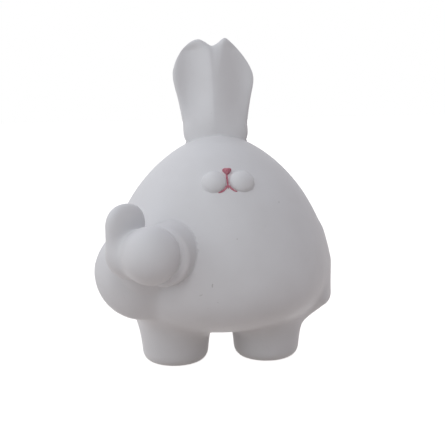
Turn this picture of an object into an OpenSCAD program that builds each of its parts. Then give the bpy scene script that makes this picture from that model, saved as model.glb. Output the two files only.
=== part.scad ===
// Rabbit figurine giving a thumbs-up: a hollow cast body of revolution with ears, arms, legs,
// muzzle and tail cast apart, seated on it and held by steel dowels.
// Millimetres, +Z up, front towards -Y, left and right as seen from the front.
// Origin on the floor, below the middle of the whole figure.

/* [Body] */
// Widest radius of the body
body_r = 93.5; // [88:0.5:99]
// Height of the crown above the floor
crown_z = 192; // [182:1:202]
// Height of the underside above the floor
underside_z = 28; // [25:0.5:31]
// Wall of the hollow casting
wall = 8; // [6:0.5:10]

/* [Ears] */
// Widest width over both ears
ear_w = 68; // [60:1:76]
// Length of the ears from their root to the tips
ear_l = 96; // [84:1:108]
// Thickness at the root
ear_root_t = 32; // [28:1:36]
// Thickness near the tips
ear_tip_t = 18; // [15:1:22]
// Depth of the hollow in the front of each ear
ear_hollow = 8; // [5:0.5:9]
// How far the ears lean back, in degrees
ear_lean = 13; // [8:1:18]
// How far the ears tip to the left, in degrees
ear_tip_over = 0; // [-2:0.5:3]

/* [Raised arm] */
// Radius of the elbow
elbow_r = 37.5; // [34:0.5:39]
// Radius of the forearm where the hand sits on it
wrist_r = 20; // [17:0.5:22]
// Radius of the upper arm at the shoulder
shoulder_r = 20; // [17:0.5:23]

/* [Hand] */
// Radius of the ball of curled fingers
fist_r = 22.3; // [20:0.1:24]
// Radius of the palm behind the fingers
palm_r = 23.8; // [22:0.2:25]
// Height of the thumb above the middle of the fist
thumb_h = 37.2; // [34:0.2:42]
// Breadth of the thumb
thumb_w = 38; // [34:0.5:42]
// Thickness of the thumb
thumb_t = 13; // [11:0.5:16]

/* [Hanging arm] */
// Radius of the hanging arm at its tip
mitten_r = 13; // [12:0.5:14.5]
// How far the hanging arm's tip stands out past the body's widest radius
mitten_proud = 2.75; // [2:0.25:4]

/* [Legs] */
// Radius of a leg below the belly
leg_r = 29.6; // [27:0.2:32]
// Distance of each leg's axis from the middle
leg_x = 39.5; // [36:0.5:44]
// How far the legs stand forward of the body's axis
leg_forward = 6.5; // [0:0.5:10]
// Radius of the rounded lower edge
sole_edge_r = 10; // [8:0.5:11]
// How much a leg narrows towards the sole
leg_draw = 2.4; // [0:0.2:3]
// How far a leg spreads where it meets the belly
leg_flare = 11; // [6:0.5:11.5]

/* [Muzzle] */
// Width of the left muzzle pad
pad_w = 20.5; // [17.5:0.5:22]
// Width of the right muzzle pad
right_pad_w = 22.5; // [17.5:0.5:24]
// How far the muzzle's middle lies to the left
muzzle_left = 1.2; // [0:0.2:3]
// Height of one muzzle pad along the face
pad_h = 20.2; // [17:0.2:22]
// How far a pad stands out of the face
pad_t = 7; // [5:0.25:8]
// Gap between the pads
pad_gap = 1.8; // [1.6:0.1:3]
// Height of the pads' middle above the floor
muzzle_z = 159.5; // [150:0.5:168]
// Width of the nose
nose_w = 8; // [6:0.2:10]
// Width of the mouth line
mouth_w = 1.4; // [1:0.1:1.5]

/* [Tail] */
// Radius of the tail
tail_r = 17; // [13:0.5:21]
// Height of the tail's middle above the floor
tail_z = 62; // [55:1:72]

/* [Dowels and felt] */
// Radius of the ear and hand dowels
thin_pin_r = 3; // [2.5:0.25:4]
// Radius of the leg and arm dowels
thick_pin_r = 4; // [3:0.25:5]
// Radius of the dowels in the tail and the hanging arm
small_pin_r = 2; // [1.5:0.25:2.5]
// Radius of a felt foot pad
felt_r = 15; // [11:0.5:15]
// Thickness of a felt foot pad
felt_t = 2; // [1.5:0.25:3]

/* [Stopper] */
// Radius of the casting hole under the belly
hole_r = 9; // [7:0.5:10]
// Radius of the stopper's flange
flange_r = 12; // [11:0.5:13]
// Length of the stopper's plug
plug_l = 12; // [9:0.5:14]

/* [Hidden] */

// Glue line between castings
seam = 0.15;
// Radial clearance of a dowel in its hole
pin_play = 0.05;
// End clearance of a dowel in its hole
pin_end = 0.5;
// Radial clearance of the stopper's plug
plug_play = 0.08;
// Clearance round the stopper's flange and round the felt
rim_play = 0.4;

// Body of revolution: an egg whose radius is that of a ball times a polynomial of the height u,
// from -1 at the underside to 1 at the crown
egg_shares = [1, -0.314, 0.145, -0.075, -0.054];
body_bands = 48;
body_mid_z = (crown_z + underside_z) / 2;
body_half_h = (crown_z - underside_z) / 2;
function egg_share(u) = sqrt(max(0, 1 - u * u)) * (egg_shares * [for (k = [0:4]) pow(u, k)]);
widest_share = max([for (i = [0:body_bands]) egg_share(-cos(180 * i / body_bands))]);
function body_radius_at(z) = body_r / widest_share
    * egg_share(max(-1, min(1, (z - body_mid_z) / body_half_h)));
// Slope of the body's side against the upright, in degrees
function body_tilt_at(z) = let (step = body_half_h / 1000)
    atan((body_radius_at(z - step) - body_radius_at(z + step)) / (2 * step));
function body_outline(grow) = [for (i = [0:body_bands]) let (u = -cos(180 * i / body_bands))
    [(body_r + grow) / widest_share * egg_share(u), body_mid_z + u * (body_half_h + grow)]];

// Ears: the rim runs clockwise as seen from the front, through points in shares of half the
// width and of the length, and is closed by a smooth curve
ear_rim_shares = [[-0.38, 0.977], [-0.22, 0.957], [-0.04, 0.918], [0.12, 0.94], [0.30, 0.987],
    [0.46, 0.95], [0.71, 0.85], [0.92, 0.73], [1.0, 0.61], [0.89, 0.42], [0.80, 0.24],
    [0.76, 0.08], [0.40, -0.08], [-0.40, -0.08], [-0.78, 0.08], [-0.83, 0.24], [-0.91, 0.42],
    [-1.03, 0.63], [-0.98, 0.75], [-0.81, 0.867], [-0.59, 0.946]];
ear_middle_share = 0.5;
ear_crest_share = -0.08;
ear_hollow_x_share = 0.58;
ear_hollow_top_share = 0.99;
ear_hollow_base_share = 0.02;
ear_back_y = 6;
ear_root_drop = 12;
ear_root_z = crown_z - ear_root_drop;
ear_sides = 54;
ear_rings = 22;
ear_dome_power = 3.2;
ear_hollow_base_ease_share = 0.4;
ear_hollow_top_ease_share = 0.12;

// A place under the body's skin, at an angle round from the front, a height and a depth
function in_body(angle, z, depth) = let (r = body_radius_at(z) - depth) [-r * sin(angle), -r * cos(angle), z];

// Raised arm: elbow and shoulder are set into the body's side, and the wrist goes with the elbow
elbow_angle = 59.5;
elbow_z = 86.5;
elbow_depth = 15.4;
elbow_at = in_body(elbow_angle, elbow_z, elbow_depth);
wrist_reach = [1.8, -22, 11.5];
wrist_at = elbow_at + wrist_reach;
shoulder_angle = 92;
shoulder_z = 114;
shoulder_cover = 6;
shoulder_at = in_body(shoulder_angle, shoulder_z, shoulder_r + shoulder_cover);
upper_arm_share = 0.9;
arm_blend = 14;
arm_sides = 40;
arm_rings = 24;

// Hand: ball of fingers, palm that stands on the body like a short post, heel of the hand and thumb
fist_reach = [2.6, -54, 23.9];
fist_at = elbow_at + fist_reach;
palm_reach = [7, 6.2, -2.7];
palm_face_at = fist_at + palm_reach;
palm_l = 40;
palm_edge_r = 4;
palm_turn = -28;
heel_reach = [-14.5, 12, -1];
heel_at = fist_at + heel_reach;
heel_r_less = 3.3;
heel_r = fist_r - heel_r_less;
thumb_top_r = 17;
thumb_across = 16.2;
thumb_back = 18;
thumb_tip_at = fist_at + [-thumb_across, thumb_back, thumb_h - thumb_top_r];
thumb_root_drop = 24;
thumb_turn = 32;
thumb_power = 2.5;
hand_middle_reach = [-10.8, 22, -4.4];
hand_middle = fist_at + hand_middle_reach;
crease = 2;
finger_blend = 7;
hand_blend = 9;
hand_sides = 56;
hand_rings = 36;

// Hanging arm: flat against the side, from a top that sinks into the body down to the tip, and from
// there in to the leg
mitten_at_angle = -6;
mitten_flat_share = 0.5;
mitten_z = 56;
mitten_middle_z = 84;
mitten_middle_proud = 2;
mitten_top_z = 106;
mitten_top_cover = 0.5;
mitten_foot_z = 39.5;
mitten_foot_r = 11;
mitten_foot_overlap = 4.5;
mitten_inside_share = 0.25;
mitten_inset = 6;
mitten_sides = 36;
mitten_rings = 26;

// Where the figure stands: the origin is below the middle of its outline on the floor
left_reach = elbow_at.x - elbow_r;
right_reach = (body_r + mitten_proud) * cos(mitten_at_angle);
front_reach = fist_at.y - fist_r;
tail_sink = 7;
back_reach = body_radius_at(tail_z) - tail_sink + tail_r;
axis_x = -(left_reach + right_reach) / 2;
axis_y = -(front_reach + back_reach) / 2;

// Legs and felt
felt_proud = 0.5;
draw_power = 2;
flare_power = 3;
sole_power = 2.4;
leg_steps = 12;
sole_z = felt_proud;
flare_rise = 25;
flare_top_z = underside_z + flare_rise;
leg_y = -leg_forward;

// Muzzle, nose and mouth, laid on the crown's front
cast_steps = 15;
muzzle_tilt = body_tilt_at(muzzle_z);
nose_up = 9.7;
nose_r = 1.9;
nose_h = 5.4;
nose_rise = 3.2;
mouth_top = 5;
mouth_corner_start = 20;
mouth_corner_end = 66;
mouth_steps = 9;
mouth_sides = 8;

// Dowels
ear_pin_l = 60;
ear_pin_x = 13;
ear_pin_drop = 28;
ear_pin_z = crown_z - ear_pin_drop;
leg_pin_z = 14;
leg_pin_l = 42;
arm_pin_depth = 26;
arm_pin_from = body_r - arm_pin_depth;
arm_pin_l = 42;
hand_pin_l = 26;
mitten_pin_z = 60;
mitten_pin_l = 20;
tail_pin_l = 18;
boss_wall = 5;

// Stopper
stopper_y = 30;
flange_t = 2;
flange_recess = 8;
flange_seat_z = underside_z + flange_recess;
plug_bevel = 1;

// Smallest of two gaps, rounded where they are nearly the same
function soft_min(a, b, k) = let (h = max(k - abs(a - b), 0) / k) min(a, b) - h * h * k / 4;
// Gap from a point to a limb that tapers from one ball to another
function limb_gap(p, a, b, ra, rb) = let (ab = b - a, s = max(0, min(1, (p - a) * ab / (ab * ab))))
    norm(p - a - s * ab) - ra - s * (rb - ra);
// Gap to an upright pill in its own frame: three half-axes, drawn down from its tip by a drop,
// with corners that a power above 2 fills out
function pill_gap(q, half, drop, power) = let (x = abs(q.x) / half.x, y = abs(q.y) / half.y,
    z = abs(q.z + max(0, min(drop, -q.z))) / half.z,
    n = pow(pow(x, power) + pow(y, power) + pow(z, power), 1 / power),
    slope = norm([pow(x, power - 1) / half.x, pow(y, power - 1) / half.y, pow(z, power - 1) / half.z]))
    slope > 0 ? (n - 1) * pow(n, power - 1) / slope : -min(half);
function turned(q, a) = [q.x * cos(a) + q.y * sin(a), q.y * cos(a) - q.x * sin(a), q.z];

function arm_gap(p) = soft_min(limb_gap(p, elbow_at, wrist_at, elbow_r, wrist_r),
    limb_gap(p, elbow_at, shoulder_at, elbow_r * upper_arm_share, shoulder_r), arm_blend);
function palm_gap(p) = let (q = turned(p - palm_face_at, palm_turn),
    side = norm([q.x, q.z]) - palm_r + palm_edge_r, end = max(-q.y, q.y - palm_l) + palm_edge_r)
    min(max(side, end), 0) + norm([max(side, 0), max(end, 0)]) - palm_edge_r;
function thumb_gap(p) = pill_gap(turned(p - thumb_tip_at, thumb_turn),
    [thumb_w / 2, thumb_t / 2, thumb_top_r], thumb_root_drop, thumb_power);
function hand_gap(p) = soft_min(palm_gap(p), soft_min(norm(p - fist_at) - fist_r,
    soft_min(norm(p - heel_at) - heel_r, thumb_gap(p), hand_blend), finger_blend), crease);
mitten_dir = [cos(mitten_at_angle), sin(mitten_at_angle), 0];
mitten_tip = [body_r + mitten_proud - mitten_r, 0, mitten_z];
mitten_middle = [body_radius_at(mitten_middle_z) + mitten_middle_proud - mitten_r, 0, mitten_middle_z];
mitten_top = [body_radius_at(mitten_top_z) - mitten_top_cover - mitten_r, 0, mitten_top_z];
mitten_foot = [leg_x + leg_r - mitten_foot_overlap, 0, mitten_foot_z];
mitten_inside = mitten_tip + (mitten_middle - mitten_tip) * mitten_inside_share - [mitten_inset, 0, 0];
function mitten_gap(p) = let (t = turned(p, mitten_at_angle), q = [t.x, t.y * mitten_flat_share, t.z])
    min(limb_gap(q, mitten_tip, mitten_middle, mitten_r, mitten_r),
        limb_gap(q, mitten_middle, mitten_top, mitten_r, mitten_r),
        limb_gap(q, mitten_tip, mitten_foot, mitten_r, mitten_foot_r));

// Distance from a middle along a direction to where a gap turns from inside to outside
function reach(gap, from, along, near, far, steps) = let (mid = (near + far) / 2)
    steps == 0 ? mid
    : gap(from + along * mid) < 0 ? reach(gap, from, along, mid, far, steps - 1)
    : reach(gap, from, along, near, mid, steps - 1);
function ball_dirs(sides, rings) = [for (j = [1:rings - 1]) for (i = [0:sides - 1])
    let (a = 360 * i / sides, b = 180 * j / rings - 90) [cos(a) * cos(b), sin(a) * cos(b), sin(b)]];
function cast_points(gap, from, far, sides, rings) =
    [for (d = concat([[0, 0, -1]], ball_dirs(sides, rings), [[0, 0, 1]]))
        from + d * reach(gap, from, d, 0, far, cast_steps)];
// Triangles of a closed skin: a first pole, rings of points, and a last pole
function skin_faces(sides, rings) = let (last = 1 + (rings - 2) * sides) concat(
    [for (i = [0:sides - 1]) [1 + i, 1 + (i + 1) % sides, 0]],
    [for (j = [0:rings - 3]) for (i = [0:sides - 1])
        let (a = 1 + j * sides + i, b = 1 + j * sides + (i + 1) % sides)
        each [[b + sides, b, a], [a + sides, b + sides, a]]],
    [for (i = [0:sides - 1]) [last + sides, last + (i + 1) % sides, last + i]]);

// Smooth closed curve through a list of points, at a place s from 0 to 1 along it
function curve_at(points, s) = let (n = len(points), u = s * n, i = floor(u), f = u - i,
    a = points[(i + n - 1) % n], b = points[i % n], c = points[(i + 1) % n], d = points[(i + 2) % n])
    b + f / 2 * (c - a + f * (2 * a - 5 * b + 4 * c - d + f * (3 * b - a - 3 * c + d)));
function ease(x) = let (s = max(0, min(1, x))) s * s * (3 - 2 * s);
// Hollow in the front of both ears, at a place in shares of half the width and of the length: it
// falls away from a crest between the ears and rises again towards the rim
function hollow_share(x, z) = let (turn = 180 * min(2, abs(x - ear_crest_share) / ear_hollow_x_share))
    (1 - cos(turn)) / 2 * ease((z - ear_hollow_base_share) / ear_hollow_base_ease_share)
    * ease((ear_hollow_top_share - z) / ear_hollow_top_ease_share);
// Half the ears' thickness at a share of their length
function ear_half_t(z) = (ear_root_t + (ear_tip_t - ear_root_t) * ease(z)) / 2;
function ear_point(s, e, side) = let (rim = curve_at(ear_rim_shares, s),
    x = rim.x * e, z = ear_middle_share + (rim.y - ear_middle_share) * e,
    dome = sqrt(max(0, 1 - pow(e, ear_dome_power))),
    y = side * ear_half_t(z) * dome + (side < 0 ? ear_hollow * hollow_share(x, z) * dome : 0))
    [x * ear_w / 2, y, z * ear_l];
function ear_points() = concat([ear_point(0, 0, -1)],
    [for (j = [1:ear_rings - 1]) for (i = [0:ear_sides - 1])
        let (q = 180 * j / ear_rings) ear_point(i / ear_sides, sin(q), q < 90 ? -1 : 1)],
    [ear_point(0, 0, 1)]);

// A place on the face: across from the muzzle's middle, up along the face, and lifted off it
function face_point(across, up, lift) = let (z = muzzle_z + up * cos(muzzle_tilt), x = across - muzzle_left,
    r = body_radius_at(z), y = -sqrt(r * r - x * x))
    [x, y, z] + lift * [x / r * cos(muzzle_tilt), y / r * cos(muzzle_tilt), sin(muzzle_tilt)];
function pad_width(side) = side < 0 ? pad_w : right_pad_w;
function pad_x(side) = side * (pad_width(side) + pad_gap) / 2;
function tube_points(path, r, sides) = let (n = len(path)) concat([path[0]],
    [for (k = [0:n - 1]) let (t = path[min(k + 1, n - 1)] - path[max(k - 1, 0)], w = t / norm(t),
        u = cross([0, -1, 0], w) / norm(cross([0, -1, 0], w)), v = cross(w, u))
        for (i = [0:sides - 1]) path[k] + r * (cos(360 * i / sides) * u + sin(360 * i / sides) * v)],
    [path[n - 1]]);
mouth_stem = [for (k = [0:mouth_steps - 1]) face_point(0, mouth_top - k * (mouth_top + pad_h / 3)
    / (mouth_steps - 1), mouth_w / 4)];
function mouth_corner(side) = [for (k = [0:mouth_steps - 1])
    let (a = mouth_corner_start + k * (mouth_corner_end - mouth_corner_start) / (mouth_steps - 1))
    face_point(pad_x(side) - side * (pad_width(side) / 2 + mouth_w / 2 + seam) * cos(a),
        -(pad_h / 2 + mouth_w / 2 + seam) * sin(a), mouth_w / 4)];

// Puts a piece built about the body's axis into the figure's frame
module placed() {
    translate([axis_x, axis_y, 0]) children();
}

module body_solid(grow) {
    rotate_extrude($fn = 144) polygon(body_outline(grow));
}

// Cylinder from a point along a direction
module rod(from, along, r, l) {
    n = along / norm(along);
    translate(from) rotate([0, acos(n.z), atan2(n.y, n.x)]) cylinder(r = r, h = l, $fn = 48);
}

ear_axis = [-sin(ear_tip_over), sin(ear_lean), cos(ear_lean)];
arm_out = [elbow_at.x, elbow_at.y, 0] / norm([elbow_at.x, elbow_at.y]);
hand_out = (fist_at - wrist_at) / norm(fist_at - wrist_at);
arm_pin_start = arm_out * arm_pin_from + [0, 0, elbow_at.z];
hand_pin_start = wrist_at + hand_out * (wrist_r - hand_pin_l / 2);
mitten_pin_start = mitten_dir * (body_radius_at(mitten_pin_z) + boss_wall - mitten_pin_l)
    + [0, 0, mitten_pin_z];
tail_pin_start = [0, back_reach - boss_wall - tail_pin_l, tail_z];

// Dowels: play and end clearance are zero for the pin and positive for its hole
module ear_dowels(play, ends) {
    for (side = [-1, 1])
        rod([side * ear_pin_x, ear_back_y, ear_pin_z] - ear_axis * ends, ear_axis, thin_pin_r + play,
            ear_pin_l + 2 * ends);
}

module leg_dowel(side, play, ends) {
    rod([side * leg_x, leg_y, leg_pin_z - ends], [0, 0, 1], thick_pin_r + play, leg_pin_l + 2 * ends);
}

module arm_dowel(play, ends) {
    rod(arm_pin_start - arm_out * ends, arm_out, thick_pin_r + play, arm_pin_l + 2 * ends);
}

module hand_dowel(play, ends) {
    rod(hand_pin_start - hand_out * ends, hand_out, thin_pin_r + play, hand_pin_l + 2 * ends);
}

module mitten_dowel(play, ends) {
    rod(mitten_pin_start - mitten_dir * ends, mitten_dir, small_pin_r + play, mitten_pin_l + 2 * ends);
}

module tail_dowel(play, ends) {
    rod(tail_pin_start - [0, ends, 0], [0, 1, 0], small_pin_r + play, tail_pin_l + 2 * ends);
}

// Bosses inside the shell that hold the dowels
module bosses() {
    for (side = [-1, 1]) {
        rod([side * ear_pin_x, ear_back_y, ear_pin_z] - ear_axis * boss_wall, ear_axis,
            thin_pin_r + boss_wall, ear_pin_l);
        rod([side * leg_x, leg_y, underside_z], [0, 0, 1], thick_pin_r + boss_wall,
            leg_pin_z + leg_pin_l + boss_wall - underside_z);
    }
    rod(arm_pin_start - arm_out * boss_wall, arm_out, thick_pin_r + boss_wall, arm_pin_l);
    rod(mitten_pin_start - mitten_dir * boss_wall, mitten_dir, small_pin_r + boss_wall, mitten_pin_l);
    rod(tail_pin_start - [0, boss_wall, 0], [0, 1, 0], small_pin_r + boss_wall, tail_pin_l);
    translate([0, stopper_y, underside_z])
        cylinder(r = hole_r + boss_wall, h = plug_l + flange_t + wall / 2, $fn = 64);
}

module body_shell() {
    color("white") placed() difference() {
        body_solid(0);
        difference() {
            body_solid(-wall);
            bosses();
        }
        ear_dowels(pin_play, pin_end);
        for (side = [-1, 1]) leg_dowel(side, pin_play, pin_end);
        arm_dowel(pin_play, pin_end);
        mitten_dowel(pin_play, pin_end);
        tail_dowel(pin_play, pin_end);
        translate([0, stopper_y, 0]) {
            cylinder(r = hole_r, h = body_mid_z, $fn = 64);
            cylinder(r = flange_r + rim_play, h = flange_seat_z, $fn = 64);
        }
    }
}

module ears() {
    color("white") placed() difference() {
        translate([0, ear_back_y, ear_root_z]) rotate([-ear_lean, -ear_tip_over, 0])
            polyhedron(ear_points(), skin_faces(ear_sides, ear_rings));
        body_solid(seam);
        ear_dowels(pin_play, pin_end);
    }
}

module ear_pins() {
    color("silver") placed() ear_dowels(0, 0);
}

module arm_solid(grow) {
    polyhedron(cast_points(function(p) arm_gap(p) - grow, elbow_at, 2 * elbow_r + wrist_r,
        arm_sides, arm_rings), skin_faces(arm_sides, arm_rings));
}

module raised_arm() {
    color("white") placed() difference() {
        arm_solid(0);
        body_solid(seam);
        arm_dowel(pin_play, pin_end);
        hand_dowel(pin_play, pin_end);
    }
}

module arm_pin() {
    color("silver") placed() arm_dowel(0, 0);
}

module thumbs_up_hand() {
    color("white") placed() difference() {
        polyhedron(cast_points(function(p) hand_gap(p), hand_middle, thumb_h + thumb_w, hand_sides,
            hand_rings), skin_faces(hand_sides, hand_rings));
        arm_solid(seam);
        body_solid(seam);
        hand_dowel(pin_play, pin_end);
    }
}

module hand_pin() {
    color("silver") placed() hand_dowel(0, 0);
}

module hanging_arm() {
    color("white") placed() difference() {
        polyhedron(cast_points(function(p) mitten_gap(p), mitten_dir * mitten_inside.x
            + [0, 0, mitten_inside.z], mitten_top_z, mitten_sides, mitten_rings),
            skin_faces(mitten_sides, mitten_rings));
        body_solid(seam);
        leg_solid(1, seam);
        mitten_dowel(pin_play, pin_end);
    }
}

module hanging_arm_pin() {
    color("silver") placed() mitten_dowel(0, 0);
}

// Outline of a leg from the sole's middle, round the lower edge and up the flare
function leg_radius_at(z) = let (f = z / flare_top_z)
    leg_r - leg_draw * pow(1 - f, draw_power) + leg_flare * pow(f, flare_power);
function leg_outline(grow) = let (edge_z = sole_z + sole_edge_r) concat(
    [[0, sole_z]],
    [for (i = [0:leg_steps]) let (a = 90 * i / leg_steps, drop = pow(cos(a), 2 / sole_power),
        z = sole_z + sole_edge_r * (1 - drop))
        [leg_radius_at(z) + grow - sole_edge_r * (1 - pow(sin(a), 2 / sole_power)), z]],
    [for (i = [1:leg_steps]) let (z = edge_z + (flare_top_z - edge_z) * i / leg_steps)
        [leg_radius_at(z) + grow, z]],
    [[0, flare_top_z]]);

module leg_solid(side, grow) {
    translate([side * leg_x, leg_y, 0]) rotate_extrude($fn = 96) polygon(leg_outline(grow));
}

module leg(side) {
    color("white") placed() difference() {
        leg_solid(side, 0);
        body_solid(seam);
        leg_dowel(side, pin_play, pin_end);
        translate([side * leg_x, leg_y, 0]) cylinder(r = felt_r + rim_play, h = felt_t, $fn = 64);
    }
}

module left_leg() {
    leg(-1);
}

module right_leg() {
    leg(1);
}

module leg_pins() {
    color("silver") placed() for (side = [-1, 1]) leg_dowel(side, 0, 0);
}

module pad_solid(side, grow) {
    translate(face_point(pad_x(side), 0, 0))
        rotate([90 - muzzle_tilt, 0, asin((pad_x(side) - muzzle_left) / body_radius_at(muzzle_z))])
            scale([pad_width(side) / 2 + grow, pad_h / 2 + grow, pad_t + grow]) sphere(r = 1, $fn = 64);
}

module muzzle_pad(side) {
    color("white") placed() difference() {
        pad_solid(side, 0);
        body_solid(seam);
    }
}

module left_muzzle_pad() {
    muzzle_pad(-1);
}

module right_muzzle_pad() {
    muzzle_pad(1);
}

module nose() {
    color("palevioletred") placed() difference() {
        hull() {
            for (side = [-1, 1]) translate(face_point(side * (nose_w / 2 - nose_r), nose_up, nose_rise))
                sphere(r = nose_r, $fn = 16);
            translate(face_point(0, nose_up - nose_h + nose_r, nose_rise)) sphere(r = nose_r, $fn = 16);
            translate(face_point(0, nose_up - nose_h / 4, 0)) sphere(r = nose_r, $fn = 16);
        }
        body_solid(seam);
        for (side = [-1, 1]) pad_solid(side, seam);
    }
}

module mouth_line() {
    color("palevioletred") placed() difference() {
        for (path = [mouth_stem, mouth_corner(-1), mouth_corner(1)])
            polyhedron(tube_points(path, mouth_w / 2, mouth_sides),
                skin_faces(mouth_sides, mouth_steps + 1));
        body_solid(seam);
    }
}

module tail() {
    color("white") placed() difference() {
        translate([0, body_radius_at(tail_z) - tail_sink, tail_z]) sphere(r = tail_r, $fn = 96);
        body_solid(seam);
        tail_dowel(pin_play, pin_end);
    }
}

module tail_pin() {
    color("silver") placed() tail_dowel(0, 0);
}

module felt(side) {
    color("gray") placed() translate([side * leg_x, leg_y, 0]) cylinder(r = felt_r, h = felt_t, $fn = 64);
}

module left_foot_pad() {
    felt(-1);
}

module right_foot_pad() {
    felt(1);
}

// Soft plug with a thin flange and a bevelled end
module base_stopper() {
    r = hole_r - plug_play;
    color("lightgray") placed() translate([0, stopper_y, 0]) rotate_extrude($fn = 96)
        polygon([[0, flange_seat_z - flange_t], [flange_r, flange_seat_z - flange_t],
            [flange_r, flange_seat_z], [r, flange_seat_z], [r, flange_seat_z + plug_l - plug_bevel],
            [r - plug_bevel, flange_seat_z + plug_l], [0, flange_seat_z + plug_l]]);
}

body_shell();
ears();
ear_pins();
raised_arm();
arm_pin();
thumbs_up_hand();
hand_pin();
hanging_arm();
hanging_arm_pin();
left_leg();
right_leg();
leg_pins();
left_muzzle_pad();
right_muzzle_pad();
nose();
mouth_line();
tail();
tail_pin();
left_foot_pad();
right_foot_pad();
base_stopper();
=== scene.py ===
"""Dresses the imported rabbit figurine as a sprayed, hand-finished casting and lights it for its portrait.

Sizes are in millimetres from the body's own axis and the floor, and become metres when a piece is made.
Every casting is the level surface of a gap: a function that is negative inside the shape, zero on its
skin and positive outside, and that grows about as the distance does.
"""

import logging
import math
from abc import ABC, abstractmethod
from dataclasses import dataclass
from enum import Enum
from typing import Callable, Sequence

import bpy
import numpy as np
from mathutils import Matrix


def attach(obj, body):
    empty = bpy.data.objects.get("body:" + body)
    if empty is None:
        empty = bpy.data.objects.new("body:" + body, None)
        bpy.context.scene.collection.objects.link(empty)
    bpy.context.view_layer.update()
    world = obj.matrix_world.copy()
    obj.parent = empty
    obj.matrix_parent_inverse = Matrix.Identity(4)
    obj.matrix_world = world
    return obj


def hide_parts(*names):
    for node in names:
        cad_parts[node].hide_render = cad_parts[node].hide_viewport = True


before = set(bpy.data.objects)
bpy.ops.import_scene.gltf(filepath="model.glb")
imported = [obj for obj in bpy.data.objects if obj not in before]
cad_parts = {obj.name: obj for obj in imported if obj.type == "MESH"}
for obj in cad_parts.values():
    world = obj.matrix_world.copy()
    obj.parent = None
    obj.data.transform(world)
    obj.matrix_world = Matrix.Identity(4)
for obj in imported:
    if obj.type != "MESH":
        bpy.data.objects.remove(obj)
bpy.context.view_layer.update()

log = logging.getLogger("figurine")

Gap = Callable[[np.ndarray], np.ndarray]
Triple = tuple[float, float, float]
Socket = bpy.types.NodeSocket
Inputs = dict[str | int, object]

MM = 0.001

# Where the body's own axis stands in the frame
AXIS = np.array([4.47872, 8.45504, 0.0])


class Side(Enum):
    """The figure's two sides, left and right as seen from its front."""

    LEFT = -1
    RIGHT = 1

    @property
    def word(self) -> str:
        """The side's name as the nodes' names have it."""
        return self.name.lower()


# Gaps and how they join


def filleted(a: np.ndarray, b: np.ndarray, width: float | np.ndarray, power: int = 2) -> np.ndarray:
    """Joins two gaps with a hollow fillet.

    The smaller gap, less the width over twice the power, times h to the power. h runs from 0 where the
    gaps differ by the width to 1 where they are equal.

    Args:
        a: first gap.
        b: second gap.
        width: how far from the crease the fillet starts.
        power: 2 for a round fillet, 3 for one that fades into both shapes without an edge.

    Returns:
        The joined gap.
    """
    h = np.maximum(width - np.abs(a - b), 0.0) / width
    return np.minimum(a, b) - h**power * width / (2 * power)


def ball_gap(p: np.ndarray, middle: Sequence[float], radius: float) -> np.ndarray:
    """Distance from the points to a ball's skin."""
    return np.linalg.norm(p - np.asarray(middle), axis=1) - radius


def limb_gap(p: np.ndarray, a: np.ndarray, b: np.ndarray, ra: float, rb: float) -> np.ndarray:
    """Distance to a limb: the nearest point of the middle line, less a radius that changes along it.

    Args:
        p: points, one a row.
        a: middle of the first end's ball.
        b: middle of the second end's ball.
        ra: radius at the first end.
        rb: radius at the second end.

    Returns:
        The gap at each point.
    """
    line = b - a
    s = np.clip((p - a) @ line / (line @ line), 0.0, 1.0)
    return np.linalg.norm(p - a - s[:, None] * line, axis=1) - ra - s * (rb - ra)


def rounded_corner(a: np.ndarray, b: np.ndarray, edge: float, power: float = 2.0) -> np.ndarray:
    """The meeting of two gaps with a rounded outer edge.

    Where both gaps lie above -edge it is their power mean distance from that corner, less the edge.

    Args:
        a: first gap.
        b: second gap.
        edge: how far from the corner the rounding starts.
        power: 2 for a round edge, more for a fuller one.

    Returns:
        The gap of what lies inside both.
    """
    a, b = a + edge, b + edge
    past = np.maximum(a, 0.0) ** power + np.maximum(b, 0.0) ** power
    return np.minimum(np.maximum(a, b), 0.0) + past ** (1 / power) - edge


def turned(q: np.ndarray, degrees: float) -> np.ndarray:
    """The points in a frame that is turned about the upright."""
    c, s = math.cos(math.radians(degrees)), math.sin(math.radians(degrees))
    return np.stack([q[:, 0] * c + q[:, 1] * s, q[:, 1] * c - q[:, 0] * s, q[:, 2]], axis=1)


def ease(x: np.ndarray) -> np.ndarray:
    """Smooth step from 0 to 1: 3 s squared less 2 s cubed, with s held between 0 and 1."""
    s = np.clip(x, 0.0, 1.0)
    return s * s * (3.0 - 2.0 * s)


def direction(azimuth: float, elevation: float) -> np.ndarray:
    """The way to a place round from the front towards the right, and up, both in degrees."""
    a, e = math.radians(azimuth), math.radians(elevation)
    return np.array([math.sin(a) * math.cos(e), -math.cos(a) * math.cos(e), math.sin(e)])


# Meshes


def reach(gap: Gap, start: np.ndarray, along: np.ndarray, far: float) -> np.ndarray:
    """Where lines leave a shape, by halving the stretch that holds the skin again and again.

    Args:
        gap: the shape.
        start: a point inside for each line, or one for all.
        along: each line's direction.
        far: a multiple of the direction that is outside.

    Returns:
        The points on the skin.
    """
    halvings = 30
    near = np.zeros(len(along))
    out = np.full(len(along), far)
    for _ in range(halvings):
        mid = (near + out) / 2
        inside = gap(start + along * mid[:, None]) < 0
        near = np.where(inside, mid, near)
        out = np.where(inside, out, mid)
    return start + along * ((near + out) / 2)[:, None]


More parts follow.
